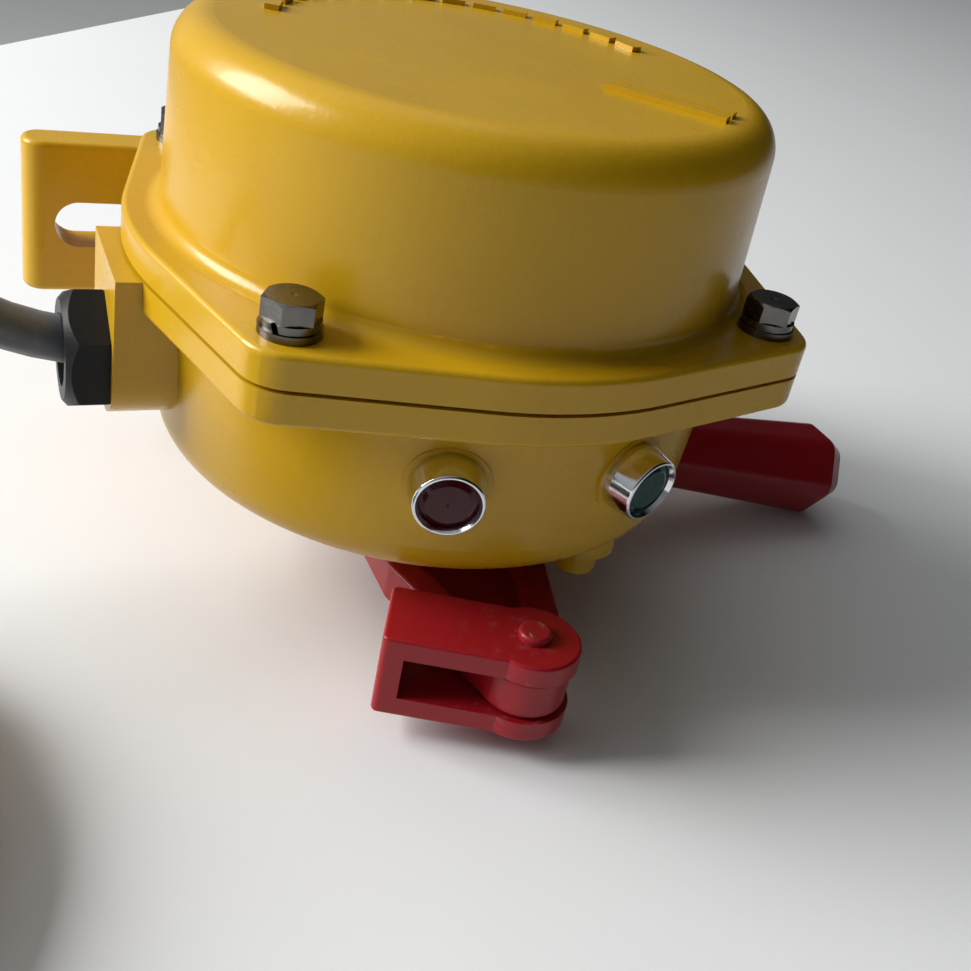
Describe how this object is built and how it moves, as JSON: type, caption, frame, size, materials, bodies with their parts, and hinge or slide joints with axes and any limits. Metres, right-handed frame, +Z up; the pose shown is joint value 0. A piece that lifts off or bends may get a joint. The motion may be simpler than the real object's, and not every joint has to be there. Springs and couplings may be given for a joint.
{
  "type": "rope-operated safety switch",
  "caption": "Round cast safety switch with a domed cover, a rope-pulled lever with swivelling shackles, a reset handle, lamps, a cable gland and a slotted plate.",
  "frame": {"origin": "middle of the two mounting slots, on the mounting plate's rear face", "axes": "+Z up through the dome, parallel to the lever's shaft; +Y out of the mounting face towards the wall; +X towards the reset handle, away from the cable"},
  "size_m": [0.374, 0.2232, 0.1262],
  "materials": {
    "body_yellow": "glossy yellow enamel on die-cast aluminium",
    "lever_red": "glossy red enamel on cast metal, chipped on the edges",
    "grip_red": "glossy red enamel on cast metal",
    "gasket_black": "matt black rubber sheet",
    "stainless": "bright stainless steel",
    "bezel_chrome": "polished chrome plate",
    "lens_red": "dark red translucent plastic, unlit",
    "lens_green": "dark green translucent plastic, unlit",
    "gland_black": "black polyamide",
    "cable_grey": "grey cable jacket",
    "core_white": "core insulation",
    "shaft_steel": "ground steel",
    "bronze": "sintered bronze",
    "seal_rubber": "black nitrile rubber",
    "pin_red": "painted over steel",
    "deck_zinc": "zinc-plated sheet",
    "switch_black": "black phenolic",
    "terminal_cream": "cream polyamide",
    "screw_brass": "nickelled brass"
  },
  "bodies": {
    "housing": {"dome_cover": "body_yellow", "base_housing": "body_yellow", "cover_gasket": "gasket_black", "cover_bolts": "stainless", "flat_washers": "stainless", "spring_washers": "stainless", "lamp_bezel_red": "bezel_chrome", "lamp_bezel_green": "bezel_chrome", "lamp_lens_red": "lens_red", "lamp_lens_green": "lens_green", "lamp_nuts": "stainless", "gland_body": "gland_black", "gland_nut": "gland_black", "gland_seal": "seal_rubber", "gland_locknut": "gland_black", "shaft_bush": "bronze", "shaft_seal": "seal_rubber", "switch_deck": "deck_zinc", "deck_screws": "stainless", "micro_switch_rear": "switch_black", "micro_switch_front": "switch_black", "terminal_block": "terminal_cream", "terminal_screws": "screw_brass", "core_leads": "core_white", "cable": "cable_grey", "cable_coil": "cable_grey"},
    "lever": {"trip_lever": "lever_red", "lever_shaft": "shaft_steel", "lever_bolt": "stainless", "lever_washer": "stainless", "shackle_pin_front": "pin_red", "shackle_pin_rear": "pin_red", "handle_grip": "grip_red", "switch_cam": "shaft_steel"},
    "front_shackle": {"rope_shackle_front": "lever_red"},
    "rear_shackle": {"rope_shackle_rear": "lever_red"},
    "front_roller_arm": {"roller_arm_front": "shaft_steel"},
    "rear_roller_arm": {"roller_arm_rear": "shaft_steel"}
  },
  "joints": [
    {"name": "lever_turn", "type": "hinge", "parent": "housing", "child": "lever", "pos_m": [0, -0.079, -0.0399], "axis": [0, 0, 1], "range_deg": [-32, 32]},
    {"name": "front_shackle_swing", "type": "hinge", "parent": "lever", "child": "front_shackle", "pos_m": [0, -0.1537, -0.0399], "axis": [0, 0, 1], "range_deg": [-3, 205]},
    {"name": "rear_shackle_swing", "type": "hinge", "parent": "lever", "child": "rear_shackle", "pos_m": [0, -0.0043, -0.0399], "axis": [0, 0, 1], "range_deg": [-3, 205]},
    {"name": "front_roller_press", "type": "hinge", "parent": "housing", "child": "front_roller_arm", "pos_m": [0.01232, -0.0998, -0.00325], "axis": [0, 0, 1], "range_deg": [0, 2.5], "stiffness_Nm_per_rad": 0.05},
    {"name": "rear_roller_press", "type": "hinge", "parent": "housing", "child": "rear_roller_arm", "pos_m": [-0.01232, -0.0582, -0.00325], "axis": [0, 0, 1], "range_deg": [0, 2.5], "stiffness_Nm_per_rad": 0.05}
  ]
}
